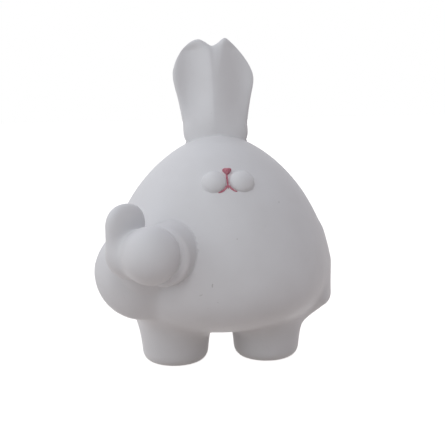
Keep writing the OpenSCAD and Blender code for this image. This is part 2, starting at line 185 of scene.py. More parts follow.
@dataclass(frozen=True)
class Rays:
    """Lines that run out from a place inside a shape, on rings from one end of a pole to the other."""

    rings: int
    around: int
    pole: Sequence[float]
    far: float

    def skin(self, gap: Gap, start: np.ndarray) -> np.ndarray:
        """Where the lines leave a shape, on a grid of the angle along the pole and the angle round it.

        Args:
            gap: the shape.
            start: a place inside it.

        Returns:
            Points, shaped rings + 1, around, 3.
        """
        off_pole = [0.31, 0.52, 0.79]
        w = np.asarray(self.pole, float) / np.linalg.norm(self.pole)
        u = np.cross(w, off_pole)
        u /= np.linalg.norm(u)
        v = np.cross(w, u)
        b = np.pi * np.arange(self.rings + 1)[:, None, None] / self.rings
        a = 2 * np.pi * np.arange(self.around)[None, :, None] / self.around
        along = np.sin(b) * (np.cos(a) * u + np.sin(a) * v) - np.cos(b) * w
        return reach(gap, start, along.reshape(-1, 3), self.far).reshape(along.shape)


def turned_grid(
    profile: Sequence[Sequence[float]], around: int, middle: Sequence[float] = (0.0, 0.0)
) -> np.ndarray:
    """Turns a profile about an upright line: each point's radius times the cosine and sine of the angle.

    Args:
        profile: radius and height of each point; the first and last lie on the line.
        around: steps round the line.
        middle: where the line stands.

    Returns:
        Points, shaped profile, around, 3.
    """
    rz = np.asarray(profile, float)
    a = 2 * np.pi * np.arange(around) / around
    x = middle[0] + rz[:, :1] * np.cos(a)
    y = middle[1] + rz[:, :1] * np.sin(a)
    return np.stack([x, y, np.broadcast_to(rz[:, 1:], x.shape)], axis=2)


def rounded_profile(corners: Sequence[Triple], steps: int = 6) -> np.ndarray:
    """A profile through corners that are rounded: each corner is a curve of the second degree.

    Args:
        corners: radius, height and how far back from the corner the rounding starts.
        steps: points along each rounding.

    Returns:
        Radius and height of each point.
    """
    out = []
    points = np.asarray([c[:2] for c in corners], float)
    for k, (_, _, cut) in enumerate(corners):
        here = points[k]
        if k in (0, len(corners) - 1) or cut == 0:
            out.append(here[None])
            continue
        back, on = points[k - 1] - here, points[k + 1] - here
        a = here + back / np.linalg.norm(back) * cut
        b = here + on / np.linalg.norm(on) * cut
        t = np.linspace(0.0, 1.0, steps)[:, None]
        out.append((1 - t) ** 2 * a + 2 * t * (1 - t) * here + t**2 * b)
    return np.concatenate(out)


def closed_surface(grid: np.ndarray, first: int) -> tuple[np.ndarray, list[list[int]]]:
    """Closes a grid whose first and last rings are single points.

    Each cell becomes a four-sided face and each end a fan. The faces are turned over where the sum of
    their corners' triple products, six times the volume, is negative.

    Args:
        grid: points, shaped rings, around, 3.
        first: number of its first point in the mesh.

    Returns:
        The points, and the numbers of each face's corners, all facing outwards.
    """
    rings, around, _ = grid.shape
    points = np.concatenate([grid[:1, 0], grid[1:-1].reshape(-1, 3), grid[-1:, 0]])
    i = np.arange(around)
    step = (i + 1) % around
    row = 1 + np.arange(rings - 3)[:, None] * around
    quads = np.stack([row + i, row + step, row + around + step, row + around + i], axis=2).reshape(-1, 4)
    last = len(points) - 1
    first_fan = np.stack([np.zeros_like(i), 1 + step, 1 + i], axis=1)
    last_fan = np.stack([np.full_like(i, last), last - around + i, last - around + step], axis=1)
    fans = np.concatenate([first_fan, last_fan])
    corners = points[np.concatenate([quads[:, :3], quads[:, [0, 2, 3]], fans])]
    if np.einsum("ij,ij->", corners[:, 0], np.cross(corners[:, 1], corners[:, 2])) < 0:
        quads, fans = quads[:, [0, 3, 2, 1]], fans[:, [0, 2, 1]]
    return points, (quads + first).tolist() + (fans + first).tolist()


def grid_piece(
    name: str,
    grids: Sequence[np.ndarray],
    node: str,
    finish: bpy.types.Material,
    body: str = "figurine",
) -> bpy.types.Object:
    """Makes and dresses a piece from closed grids.

    Args:
        name: the piece's name.
        grids: points in millimetres from the body's axis, shaped rings, around, 3.
        node: the CAD node that the piece stands for.
        finish: what it is finished with.
        body: the body that it rides on.

    Returns:
        The new object.
    """
    points, faces = [], []
    for grid in grids:
        own_points, own_faces = closed_surface(grid, len(points))
        points += ((own_points + AXIS) * MM).tolist()
        faces += own_faces
    mesh = bpy.data.meshes.new(name)
    mesh.from_pydata(points, [], faces)
    mesh.update()
    mesh.shade_smooth()
    mesh.materials.append(finish)
    piece = bpy.data.objects.new(name, mesh)
    bpy.context.scene.collection.objects.link(piece)
    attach(piece, body)
    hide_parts(node)
    log.info("%s: %d faces", name, len(faces))
    return piece


# Finishes


class NodeBoard:
    """The nodes of a material or of the surroundings, with short ways to add and join them."""

    def __init__(self, owner: bpy.types.Material | bpy.types.World, kind: str = "Material") -> None:
        """Starts with nothing but the output.

        Args:
            owner: the material or the world.
            kind: which of the two it is.
        """
        owner.use_nodes = True
        self.owner = owner
        self.tree = owner.node_tree
        self.tree.nodes.clear()
        self.output = self.add(f"ShaderNodeOutput{kind}")

    def add(self, kind: str, inputs: Inputs | None = None, **values: object) -> bpy.types.Node:
        """Adds a node and fills its sockets.

        Args:
            kind: the node's type.
            inputs: socket names or numbers, and the socket, number, colour or vector that each takes.
            values: properties of the node to set.

        Returns:
            The node.
        """
        node = self.tree.nodes.new(kind)
        for key, value in values.items():
            setattr(node, key, value)
        for key, value in (inputs or {}).items():
            socket = node.inputs[key]
            if isinstance(value, Socket):
                self.tree.links.new(value, socket)
            else:
                socket.default_value = (*value, 1.0) if socket.type == "RGBA" else value
        return node

    def place(self) -> Socket:
        """The object's own coordinates, in metres."""
        return self.add("ShaderNodeTexCoord").outputs["Object"]

    def stretched(self, scale: Triple) -> Socket:
        """The object's own coordinates, drawn out along the axes with a small scale."""
        return self.add("ShaderNodeMapping", {"Vector": self.place(), "Scale": scale}).outputs[0]

    def noise(self, scale: float, detail: float, rough: float = 0.5, on: Socket | None = None) -> Socket:
        """A noise pattern of so many swells to the metre, on the object's own coordinates or others."""
        inputs = {"Vector": on or self.place(), "Scale": scale, "Detail": detail, "Roughness": rough}
        return self.add("ShaderNodeTexNoise", inputs).outputs["Fac"]

    def spread(
        self, value: Socket, source: tuple[float, float], target: tuple[float, float] = (0.0, 1.0)
    ) -> Socket:
        """Stretches a value from one range to another and holds it there.

        Args:
            value: what to stretch.
            source: start and end of its range.
            target: what they become.

        Returns:
            The stretched value.
        """
        inputs = dict(zip(("From Min", "From Max", "To Min", "To Max"), (*source, *target)))
        inputs["Value"] = value
        return self.add("ShaderNodeMapRange", inputs, clamp=True).outputs["Result"]

    def sum(self, operation: str, a: Socket, b: Socket | float) -> Socket:
        """Joins two values by a sum: ADD, MULTIPLY, MAXIMUM or another."""
        return self.add("ShaderNodeMath", {0: a, 1: b}, operation=operation).outputs[0]

    def blend(self, amount: Socket, a: Triple | Socket, b: Triple | Socket) -> Socket:
        """Mixes two colours: an amount of 0 gives the first and 1 the second."""
        return self.add("ShaderNodeMix", {0: amount, 6: a, 7: b}, data_type="RGBA").outputs[2]

    def bump(self, height: Socket, distance: float, **under: Socket) -> Socket:
        """Raises the shading by a pattern of a full height in metres, over the Normal of another."""
        inputs = {"Height": height, "Distance": distance, "Strength": 1.0, **under}
        return self.add("ShaderNodeBump", inputs).outputs["Normal"]

    def seen_directly(self) -> Socket:
        """1 for rays from the camera, from a gloss or through something clear, and 0 for others.

        Returns:
            The value.
        """
        rays = self.add("ShaderNodeLightPath").outputs
        seen = self.sum("MAXIMUM", rays["Is Camera Ray"], rays["Is Glossy Ray"])
        return self.sum("MAXIMUM", seen, rays["Is Transmission Ray"])

    def show(self, shader: bpy.types.Node) -> None:
        """Joins a shader to the output."""
        self.tree.links.new(shader.outputs[0], self.output.inputs["Surface"])

    def surface(self, **values: object) -> bpy.types.Material:
        """Adds the surface shader and joins it to the output.

        Args:
            values: socket names, with underlines for spaces, and the socket, number or colour of each.

        Returns:
            The finished material.
        """
        inputs = {key.replace("_", " "): value for key, value in values.items()}
        self.show(self.add("ShaderNodeBsdfPrincipled", inputs))
        return self.owner


@dataclass(frozen=True)
class Scuff:
    """A small rubbed mark in the paint: middle, half sizes, tilt as seen from the front, and depth."""

    at: Triple
    half: tuple[float, float]
    tilt: float
    depth: float


@dataclass(frozen=True)
class SatinWhitePaint:
    """Sprayed satin white: faint clouds of tone, orange peel, dust nibs and a few rubbed marks."""

    name: str = "satin_white_paint"
    high: Triple = (0.775, 0.782, 0.795)
    low: Triple = (0.745, 0.748, 0.757)
    mark: Triple = (0.46, 0.45, 0.44)
    scuffs: tuple[Scuff, ...] = ()
    mark_depth: float = 6.0

    def build(self) -> bpy.types.Material:
        """Makes the material.

        Returns:
            The painted white material.
        """
        board = NodeBoard(bpy.data.materials.new(self.name))
        cloud = board.spread(board.noise(26.0, 3.0), (0.35, 0.65))
        colour = board.blend(cloud, self.low, self.high)
        nibs = board.spread(board.noise(620.0, 1.0), (0.77, 0.83), (0.0, 0.35))
        colour = board.blend(nibs, colour, self.mark)
        for scuff in self.scuffs:
            colour = board.blend(self._mark(board, scuff), colour, self.mark)
        rough = board.spread(board.noise(340.0, 3.0), (0.3, 0.7), (0.40, 0.52))
        wave = board.bump(board.noise(85.0, 2.0), 0.00010)
        peel = board.bump(board.noise(1150.0, 1.0), 0.000012, Normal=wave)
        gloss = {"Specular_IOR_Level": 0.28, "IOR": 1.47}
        return board.surface(Base_Color=colour, Roughness=rough, Normal=peel, **gloss)

    def _mark(self, board: NodeBoard, scuff: Scuff) -> Socket:
        """How much of a rubbed mark shows: an oval with a ragged edge.

        Args:
            board: the material's nodes.
            scuff: the mark.

        Returns:
            Its strength at each point.
        """
        oval = {
            "Vector": board.place(),
            "Location": [v * MM for v in scuff.at],
            "Rotation": (0.0, math.radians(scuff.tilt), 0.0),
            "Scale": (scuff.half[0] * MM, self.mark_depth * MM, scuff.half[1] * MM),
        }
        moved = board.add("ShaderNodeMapping", oval, vector_type="TEXTURE").outputs[0]
        size = board.add("ShaderNodeVectorMath", {0: moved}, operation="LENGTH").outputs["Value"]
        edge = board.spread(board.noise(900.0, 3.0), (0.3, 0.7), (-0.5, 0.5))
        return board.spread(board.sum("ADD", size, edge), (0.75, 1.1), (scuff.depth, 0.0))


@dataclass(frozen=True)
class DustyPinkPaint:
    """Pink brushed on by hand: thin in places, with a fine grain."""

    name: str = "dusty_pink_paint"
    full: Triple = (0.47, 0.105, 0.17)
    thin: Triple = (0.60, 0.26, 0.30)

    def build(self) -> bpy.types.Material:
        """Makes the material.

        Returns:
            The brushed pink material.
        """
        board = NodeBoard(bpy.data.materials.new(self.name))
        cover = board.spread(board.noise(420.0, 4.0, 0.6), (0.35, 0.65))
        return board.surface(
            Base_Color=board.blend(cover, self.thin, self.full),
            Roughness=board.spread(board.noise(800.0, 2.0), (0.3, 0.7), (0.42, 0.6)),
            Normal=board.bump(board.noise(1500.0, 2.0), 0.00004),
            Specular_IOR_Level=0.4,
        )


@dataclass(frozen=True)
class PressedFelt:
    """Grey felt: matted fibres in two lengths, with a soft nap."""

    name: str = "pressed_felt"
    dark: Triple = (0.10, 0.10, 0.105)
    light: Triple = (0.21, 0.21, 0.215)
    fibre_share: float = 0.65

    def build(self) -> bpy.types.Material:
        """Makes the material.

        Returns:
            The felt material.
        """
        board = NodeBoard(bpy.data.materials.new(self.name))
        fibre = board.noise(2600.0, 4.0, 0.7, board.stretched((1.0, 0.35, 1.0)))
        fibre = board.sum("MULTIPLY", fibre, self.fibre_share)
        mat = board.sum("MULTIPLY", board.noise(420.0, 3.0), 1 - self.fibre_share)
        both = board.sum("ADD", fibre, mat)
        return board.surface(
            Base_Color=board.blend(board.spread(both, (0.35, 0.65)), self.dark, self.light),
            Roughness=0.95,
            Normal=board.bump(both, 0.00035),
            Sheen_Weight=0.4,
            Sheen_Roughness=0.5,
            Specular_IOR_Level=0.2,
        )


@dataclass(frozen=True)
class SoftVinyl:
    """Milky soft vinyl: slightly clear, with a fine moulded grain."""

    name: str = "soft_vinyl"
    clear: Triple = (0.60, 0.60, 0.575)
    milky: Triple = (0.70, 0.70, 0.68)

    def build(self) -> bpy.types.Material:
        """Makes the material.

        Returns:
            The vinyl material.
        """
        board = NodeBoard(bpy.data.materials.new(self.name))
        cloud = board.spread(board.noise(160.0, 3.0), (0.35, 0.65))
        return board.surface(
            Base_Color=board.blend(cloud, self.clear, self.milky),
            Roughness=board.spread(board.noise(500.0, 2.0), (0.3, 0.7), (0.36, 0.5)),
            Normal=board.bump(board.noise(1800.0, 2.0), 0.00003),
            Subsurface_Weight=0.15,
            Subsurface_Scale=0.002,
        )


@dataclass(frozen=True)
class CutSteelRod:
    """Plain drawn steel rod: fine lines along it and a dull grey film."""

    name: str = "cut_steel_rod"
    bright: Triple = (0.56, 0.57, 0.59)
    dull: Triple = (0.40, 0.40, 0.41)

    def build(self) -> bpy.types.Material:
        """Makes the material.

        Returns:
            The steel material.
        """
        board = NodeBoard(bpy.data.materials.new(self.name))
        lines = board.noise(2400.0, 3.0, 0.6, board.stretched((1.0, 1.0, 0.04)))
        return board.surface(
            Base_Color=board.blend(board.spread(lines, (0.35, 0.65)), self.dull, self.bright),
            Roughness=board.spread(lines, (0.3, 0.7), (0.28, 0.46)),
            Metallic=1.0,
            Normal=board.bump(lines, 0.00001),
        )


# The figure


@dataclass
class BodyShell:
    """The hollow egg-shaped casting of head and body, with the casting hole under its belly."""

    radius: float = 93.5
    crown: float = 192.0
    underside: float = 28.0
    egg: tuple[float, ...] = (1.0, -0.314, 0.145, -0.075, -0.054)
    wall: float = 8.0
    hole_y: float = 30.0
    hole_radius: float = 9.0
    recess_radius: float = 12.4
    recess_top: float = 36.0
    lip: float = 0.4
    boss_wall: float = 5.0
    boss_top: float = 46.0
    boss_foot: float = 5.6
    belly_share: float = 0.93
    inner_belly_share: float = 0.9
    rings: tuple[int, int, int, int] = (150, 60, 24, 50)
    around: int = 320

    @property
    def middle(self) -> float:
        """Height half-way between underside and crown."""
        return (self.crown + self.underside) / 2

    @property
    def half_height(self) -> float:
        """Half the casting's height."""
        return (self.crown - self.underside) / 2

    def _polynomial(self, u: np.ndarray) -> np.ndarray:
        """The egg's polynomial of the height share, scaled so that the widest ring has the radius.

        Args:
            u: height shares.

        Returns:
            The scaled polynomial's values.
        """
        c = np.cos(np.linspace(0.0, np.pi, 49))
        widest = (np.sqrt(1 - c * c) * np.polyval(self.egg[::-1], c)).max()
        return self.radius / widest * np.polyval(self.egg[::-1], u)

    def radius_at(self, z: np.ndarray | float, inset: float = 0.0) -> np.ndarray:
        """Radius at a height, or at an inset inside the skin: that of a ball times the polynomial."""
        u = np.clip((z - self.middle) / (self.half_height - inset), -1.0, 1.0)
        return np.sqrt(1 - u * u) * self._polynomial(u) * (1 - inset / self.radius)

    def inside(self, angle: float, z: float, depth: float) -> np.ndarray:
        """A place at a depth under the skin, at an angle from the front towards the left, in degrees."""
        r = float(self.radius_at(z)) - depth
        return np.array([-r * math.sin(math.radians(angle)), -r * math.cos(math.radians(angle)), z])

    def gap(self, p: np.ndarray) -> np.ndarray:
        """Gap to the egg: n less 1, over the slope of n.

        n is the length of the radius in units of the polynomial and the height in half heights.

        Args:
            p: points, one a row.

        Returns:
            The gap at each point.
        """
        furthest = 1.25
        step = 1e-4
        rho = np.hypot(p[:, 0], p[:, 1])
        u_out = (p[:, 2] - self.middle) / self.half_height
        u = np.clip(u_out, -furthest, furthest)
        a = self._polynomial(u)
        da = (self._polynomial(u + step) - self._polynomial(u - step)) / (2 * step)
        n = np.maximum(np.sqrt((rho / a) ** 2 + u_out**2), 1e-6)
        slope_r = rho / (a * a * n)
        slope_z = (u_out - rho**2 * da / a**3) / (n * self.half_height)
        return (n - 1) / np.maximum(np.hypot(slope_r, slope_z), 1e-6)

    def underside_at(self, rho: np.ndarray, inset: float) -> np.ndarray:
        """Height of the belly at a distance from the axis, found by halving.

        Args:
            rho: distances from the axis.
            inset: how far inside the skin.

        Returns:
            The height at each distance.
        """
        above_belly, halvings = 75.0, 40
        low = np.full(rho.shape, self.underside + inset)
        high = np.full(rho.shape, above_belly)
        for _ in range(halvings):
            mid = (low + high) / 2
            short = self.radius_at(mid, inset) < rho
            low = np.where(short, mid, low)
            high = np.where(short, high, mid)
        return (low + high) / 2

    def _egg_rings(self, low: float, rings: int, inset: float) -> np.ndarray:
        """Rings down the egg from its crown, evenly spaced in the angle whose cosine is the height share.

        Args:
            low: the last ring's height share below the middle.
            rings: how many rings.
            inset: how far inside the skin.

        Returns:
            Points, shaped rings, around, 3.
        """
        u = np.cos(np.linspace(0.0, 1.0, rings) * np.arccos(-low))
        z = self.middle + u * (self.half_height - inset)
        return turned_grid(np.stack([self.radius_at(z, inset), z], axis=1), self.around)

    def _belly_rings(self, low: float, inner: float, rings: int, inset: float) -> np.ndarray:
        """Rings on the belly whose middles move from the axis to the hole as they close in.

        Args:
            low: the first ring's height share below the middle.
            inner: radius of the last ring.
            rings: how many rings.
            inset: how far inside the skin.

        Returns:
            Points, shaped rings, around, 3.
        """
        outer = self.radius_at(self.middle - low * (self.half_height - inset), inset)
        a = 2 * np.pi * np.arange(self.around) / self.around
        s = np.linspace(0.0, 1.0, rings)[:, None]
        r = outer + (inner - outer) * s
        x = r * np.cos(a)
        y = self.hole_y * s + r * np.sin(a)
        return np.stack([x, y, self.underside_at(np.hypot(x, y), inset)], axis=2)

    def surface(self) -> np.ndarray:
        """The whole skin as one grid from the crown, down outside, up through the hole and up inside.

        Returns:
            Points, shaped rings, around, 3.
        """
        outer, belly, inner_belly, inner = self.rings
        top = self._egg_rings(self.belly_share, outer, 0.0)
        under = self._belly_rings(self.belly_share, self.recess_radius + self.lip, belly, 0.0)[1:]
        boss_radius = self.hole_radius + self.boss_wall
        hole = [
            (self.recess_radius, self.underside, 0.0),
            (self.recess_radius, self.recess_top, 0.25),
            (self.hole_radius, self.recess_top, 0.3),
            (self.hole_radius, self.boss_top, 0.8),
            (boss_radius, self.boss_top, 0.8),
            (boss_radius, self.underside + self.wall + self.boss_foot, 0.0),
        ]
        sleeve = turned_grid(rounded_profile(hole), self.around, (0.0, self.hole_y))
        sleeve[0, :, 2] = under[-1, :, 2] + self.lip
        floor = self._belly_rings(self.inner_belly_share, boss_radius, inner_belly, self.wall)[::-1]
        inside = self._egg_rings(self.inner_belly_share, inner, self.wall)[::-1]
        return np.concatenate([top, under, sleeve, floor, inside[1:]])

    def build(self, finish: bpy.types.Material) -> bpy.types.Object:
        """Makes the casting, in the white paint with its marks."""
        return grid_piece("body_casting", [self.surface()], "body_shell", finish)


class Casting(ABC):
    """A white casting seated on its neighbour, its skin found along lines that run out from inside it.

    Attributes:
        node: the CAD node that it stands for.
        rays: the lines that find its skin.
        start: where they start.
        fillet: width of the fillet to its neighbour.
    """

    node: str
    rays: Rays
    start: np.ndarray
    fillet: float

    # How far the skin is set in where a fillet has run out, and how far past a fillet a casting goes on
    INSET = 0.01
    SWELL_SHARE = 1.1
    SWELL = 0.5

    @property
    def name(self) -> str:
        """The piece's name."""
        return f"{self.node}_casting"

    @abstractmethod
    def gap(self, p: np.ndarray) -> np.ndarray:
        """Gap to the casting alone."""

    @abstractmethod
    def neighbour_gap(self, p: np.ndarray) -> np.ndarray:
        """Gap to what it sits on."""

    def fillet_at(self, p: np.ndarray) -> float | np.ndarray:
        """Width of the fillet at each point."""
        return self.fillet

    def seated_gap(self, p: np.ndarray) -> np.ndarray:
        """Gap to the casting with its fillet, kept to what lies near the casting.

        The larger of two gaps: the fillet join of the casting with its neighbour's skin, set in by a hair
        so that the neighbour covers it where the fillet has run out, and the casting swelled by a little
        more than the fillet.

        Args:
            p: points, one a row.

        Returns:
            The gap at each point.
        """
        own = self.gap(p)
        width = self.fillet_at(p)
        joined = filleted(own, self.neighbour_gap(p) + self.INSET, width, 3)
        return np.maximum(joined, own - self.SWELL_SHARE * width - self.SWELL)

    def skin(self) -> np.ndarray:
        """The seated casting's skin as a grid of points."""
        return self.rays.skin(self.seated_gap, self.start)

    def build(self, finish: bpy.types.Material) -> bpy.types.Object:
        """Makes the casting, in the white paint."""
        return grid_piece(self.name, [self.skin()], self.node, finish)


@dataclass
class Leg(Casting):
    """A stubby leg: a turned post with a rounded lower edge that spreads where it meets the belly."""

    side: Side
    body: BodyShell
    radius: float = 29.6
    reach_x: float = 39.5
    forward: float = 6.5
    start_z: float = 40.0
    edge: float = 10.0
    edge_power: float = 2.4
    draw: float = 2.4
    flare: float = 11.0
    flare_top: float = 53.0
    sole: float = 0.5
    fillet: float = 7.0
    front_fillet: float = 20.0

    rays = Rays(rings=210, around=220, pole=(0.0, 0.0, 1.0), far=90.0)

    @property
    def node(self) -> str:
        """The CAD node that it stands for."""
        return f"{self.side.word}_leg"

    @property
    def start(self) -> np.ndarray:
        """A point on the leg's middle line, inside both leg and belly."""
        return np.array([self.side.value * self.reach_x, -self.forward, self.start_z])

    def gap(self, p: np.ndarray) -> np.ndarray:
        """Gap to the post: the rounded meeting of its sole and its side, whose radius changes upwards.

        Args:
            p: points, one a row.

        Returns:
            The gap at each point.
        """
        z = p[:, 2]
        f = np.clip(z / self.flare_top, 0.0, 1.0)
        side = np.hypot(p[:, 0] - self.start[0], p[:, 1] - self.start[1])
        side -= self.radius - self.draw * (1 - f) ** 2 + self.flare * f**3
        post = rounded_corner(side, self.sole - z, self.edge, self.edge_power)
        return np.maximum(post, z - self.flare_top)

    def neighbour_gap(self, p: np.ndarray) -> np.ndarray:
        """Gap to the body."""
        return self.body.gap(p)

    def fillet_at(self, p: np.ndarray) -> np.ndarray:
        """Width of the fillet to the belly: wide in front of the leg and narrow beside and behind it."""
        front = (self.start[1] - p[:, 1]) / self.radius
        return self.fillet + (self.front_fillet - self.fillet) * ease(front)


@dataclass
class FootPad:
    """A felt disc let into the sole, with a cut edge that is a little uneven."""

    leg: Leg
    radius: float = 15.0
    thickness: float = 2.0
    wander: float = 0.004
    around: int = 180

    def build(self, finish: bpy.types.Material) -> bpy.types.Object:
        """Makes the disc, whose rim wanders in by a sum of two sines of the angle.

        Args:
            finish: the felt.

        Returns:
            The piece.
        """
        rim = [(self.radius, 0.0, 0.5), (self.radius, self.thickness, 0.4)]
        disc = rounded_profile([(0.0, 0.0, 0.0), *rim, (0.0, self.thickness, 0.0)])
        sole = [[self.radius * share, 0.0] for share in (0.3, 0.6, 0.9)]
        grid = turned_grid(np.concatenate([disc[:1], sole, disc[1:]]), self.around)
        a = 2 * np.pi * np.arange(self.around) / self.around
        wave = 1 + 0.5 * np.sin(7 * a + 1) + 0.5 * np.sin(17 * a)
        grid[..., :2] *= (1 - self.wander * wave)[None, :, None]
        grid[..., :2] += self.leg.start[:2]
        word = self.leg.side.word
        return grid_piece(f"{word}_felt_disc", [grid], f"{word}_foot_pad", finish)


@dataclass
class Torso:
    """Body and legs taken together, which the arms are seated on."""

    body: BodyShell
    legs: tuple[Leg, Leg]

    def gap(self, p: np.ndarray) -> np.ndarray:
        """Gap to the body joined to each leg by the leg's own fillet."""
        skin = self.body.gap(p)
        return np.minimum.reduce([filleted(leg.gap(p), skin, leg.fillet_at(p), 3) for leg in self.legs])


@dataclass
class Ears(Casting):
    """Both ears in one casting: a leaning blade with a hollow in the front of each ear.

    Pairs of hollow values are for the left and the right ear. Places on the blade are in shares: across
    of half the width, along of the length. Lines to the skin start on the middle sheet, whose values say
    how far in from the rim.
    """

    body: BodyShell
    width: float = 68.0
    length: float = 95.75
    root_thickness: float = 32.0
    tip_thickness: float = 18.0
    lean: float = 13.0
    root: Triple = (0.0, 6.0, 180.0)
    dome_power: float = 3.2
    crest: float = -0.08
    hollow: float = 10.0
    hollow_x: tuple[float, float] = (0.6, 0.88)
    hollow_power: tuple[float, float] = (0.8, 1.0)
    hollow_base: float = 0.02
    hollow_top: float = 0.99
    base_fade: float = 0.4
    top_fade: float = 0.12
    sheet_across: float = 0.88
    sheet_along: float = 0.9
    sheet_share: float = 0.89
    fillet: float = 1.2
    rings: int = 150
    around: int = 380
    rim: tuple[tuple[float, float], ...] = (
        (-0.38, 0.977),
        (-0.22, 0.957),
        (-0.04, 0.918),
        (0.12, 0.94),
        (0.30, 0.987),
        (0.46, 0.95),
        (0.71, 0.85),
        (0.92, 0.73),
        (1.0, 0.61),
        (0.89, 0.42),
        (0.80, 0.24),
        (0.76, 0.08),
        (0.40, -0.08),
        (-0.40, -0.08),
        (-0.78, 0.08),
        (-0.83, 0.24),
        (-0.91, 0.42),
        (-1.03, 0.63),
        (-0.98, 0.75),
        (-0.81, 0.867),
        (-0.59, 0.946),
    )

    node = "ears"

    @property
    def axes(self) -> np.ndarray:
        """Across, through and along the blade, one a row."""
        c, s = math.cos(math.radians(self.lean)), math.sin(math.radians(self.lean))
        return np.array([[1.0, 0.0, 0.0], [0.0, c, -s], [0.0, s, c]])

    def rim_at(self, s: np.ndarray) -> np.ndarray:
        """The rim's closed curve, of the third degree between each two points, with no kink at them.

        Args:
            s: place along the curve, from 0 to 1.

        Returns:
            Across and along.
        """
        points = np.asarray(self.rim)
        n = len(points)
        u = np.mod(s, 1.0) * n
        i = np.floor(u).astype(int) % n
        f = (u - np.floor(u))[:, None]
        a, b, c, d = points[(i - 1) % n], points[i], points[(i + 1) % n], points[(i + 2) % n]
        return b + f / 2 * (c - a + f * (2 * a - 5 * b + 4 * c - d + f * (3 * b - a - 3 * c + d)))

    def rim_share(self, x: np.ndarray, z: np.ndarray) -> np.ndarray:
        """How far out to the rim a place of the blade is: 0 in its middle and 1 on the rim.

        Args:
            x: places across.
            z: places along.

        Returns:
            The share at each place.
        """
        curve = self.rim_at(np.linspace(0.0, 1.0, 1400, endpoint=False)) - [0.0, 0.5]
        angle = np.arctan2(curve[:, 1], curve[:, 0])
        order = np.argsort(angle)
        here = np.arctan2(z - 0.5, x)
        rim = np.interp(here, angle[order], np.hypot(*curve[order].T), period=2 * np.pi)
        return np.hypot(x, z - 0.5) / rim

    def half_thickness(self, z: np.ndarray) -> np.ndarray:
        """Half the blade's thickness at a place along it."""
        return (self.root_thickness + (self.tip_thickness - self.root_thickness) * ease(z)) / 2

    def dome(self, e: np.ndarray) -> np.ndarray:
        """How full the blade is at a rim share: the root of 1 less a power of the share."""
        return np.sqrt(np.clip(1 - e**self.dome_power, 0.0, 1.0))

    def bend(self, x: np.ndarray, z: np.ndarray) -> np.ndarray:
        """How far back the hollows bend the blade's middle sheet.

        Across, half of 1 less the cosine of a half turn times t: t is the distance from the crest between
        the ears in units of the deepest place's, and below 1 is raised to a power. Each ear has its own
        distance and power. Along, it fades at the root and at the tips.

        Args:
            x: places across.
            z: places along.

        Returns:
            Half the hollow's depth at each place.
        """
        left = x < self.crest
        t = np.minimum(np.abs(x - self.crest) / np.where(left, *self.hollow_x), 2.0)
        t = np.where(t < 1, t ** np.where(left, *self.hollow_power), t)
        rise = ease((z - self.hollow_base) / self.base_fade)
        fall = ease((self.hollow_top - z) / self.top_fade)
        return self.hollow / 2 * (1 - np.cos(np.pi * t)) / 2 * rise * fall

    def _level(self, q: np.ndarray) -> np.ndarray:
        """The square of the depth in half thicknesses, plus a power of the rim share, less 1.

        The depth is taken from the bent middle sheet.

        Args:
            q: points in the blade's own frame, one a row.

        Returns:
            The level at each point.
        """
        x, z = q[:, 0] / (self.width / 2), q[:, 2] / self.length
        e = self.rim_share(x, z)
        bent = self.bend(x, z)
        depth = (q[:, 1] - bent * self.dome(e)) / (self.half_thickness(z) - bent)
        return depth**2 + e**self.dome_power - 1

    def gap(self, p: np.ndarray) -> np.ndarray:
        """Gap to the blade: its level over the level's slope, from small steps each way.

        Args:
            p: points, one a row.

        Returns:
            The gap at each point.
        """
        step, least_slope = 0.05, 0.02
        q = (p - np.asarray(self.root)) @ self.axes.T
        rises = [self._level(q + way * step) - self._level(q - way * step) for way in np.eye(3)]
        slope = np.linalg.norm(rises, axis=0) / (2 * step)
        return self._level(q) / np.maximum(slope, least_slope)

    def neighbour_gap(self, p: np.ndarray) -> np.ndarray:
        """Gap to the body."""
        return self.body.gap(p)

    def skin(self) -> np.ndarray:
        """The skin, along lines from the bent middle sheet towards each point of the blade's own surface.

        The surface is the bent middle plus or minus what is left of the half thickness, times the dome,
        with the rim share running as the sine of an angle from front to back.

        Returns:
            Points, shaped rings + 1, around, 3.
        """
        far, off_sheet = 3.5, 1e-6
        q = np.pi * np.arange(self.rings + 1)[:, None] / self.rings
        e, side = np.sin(q), -np.sign(np.cos(q))
        rim = self.rim_at(np.arange(self.around) / self.around)
        x, z = rim[:, 0] * e, 0.5 + (rim[:, 1] - 0.5) * e
        bent = self.bend(x, z)
        y = (bent + side * (self.half_thickness(z) - bent)) * self.dome(e)
        x_in, z_in = x * self.sheet_across, 0.5 + (z - 0.5) * self.sheet_along
        y_in = self.bend(x_in, z_in) * self.dome(e * self.sheet_share) + side * off_sheet
        half = self.width / 2
        target = np.stack([x * half, y, z * self.length], axis=2).reshape(-1, 3) @ self.axes
        start = np.stack([x_in * half, y_in, z_in * self.length], axis=2).reshape(-1, 3) @ self.axes
        skin = reach(self.seated_gap, start + np.asarray(self.root), target - start, far)
        return skin.reshape(*x.shape, 3)


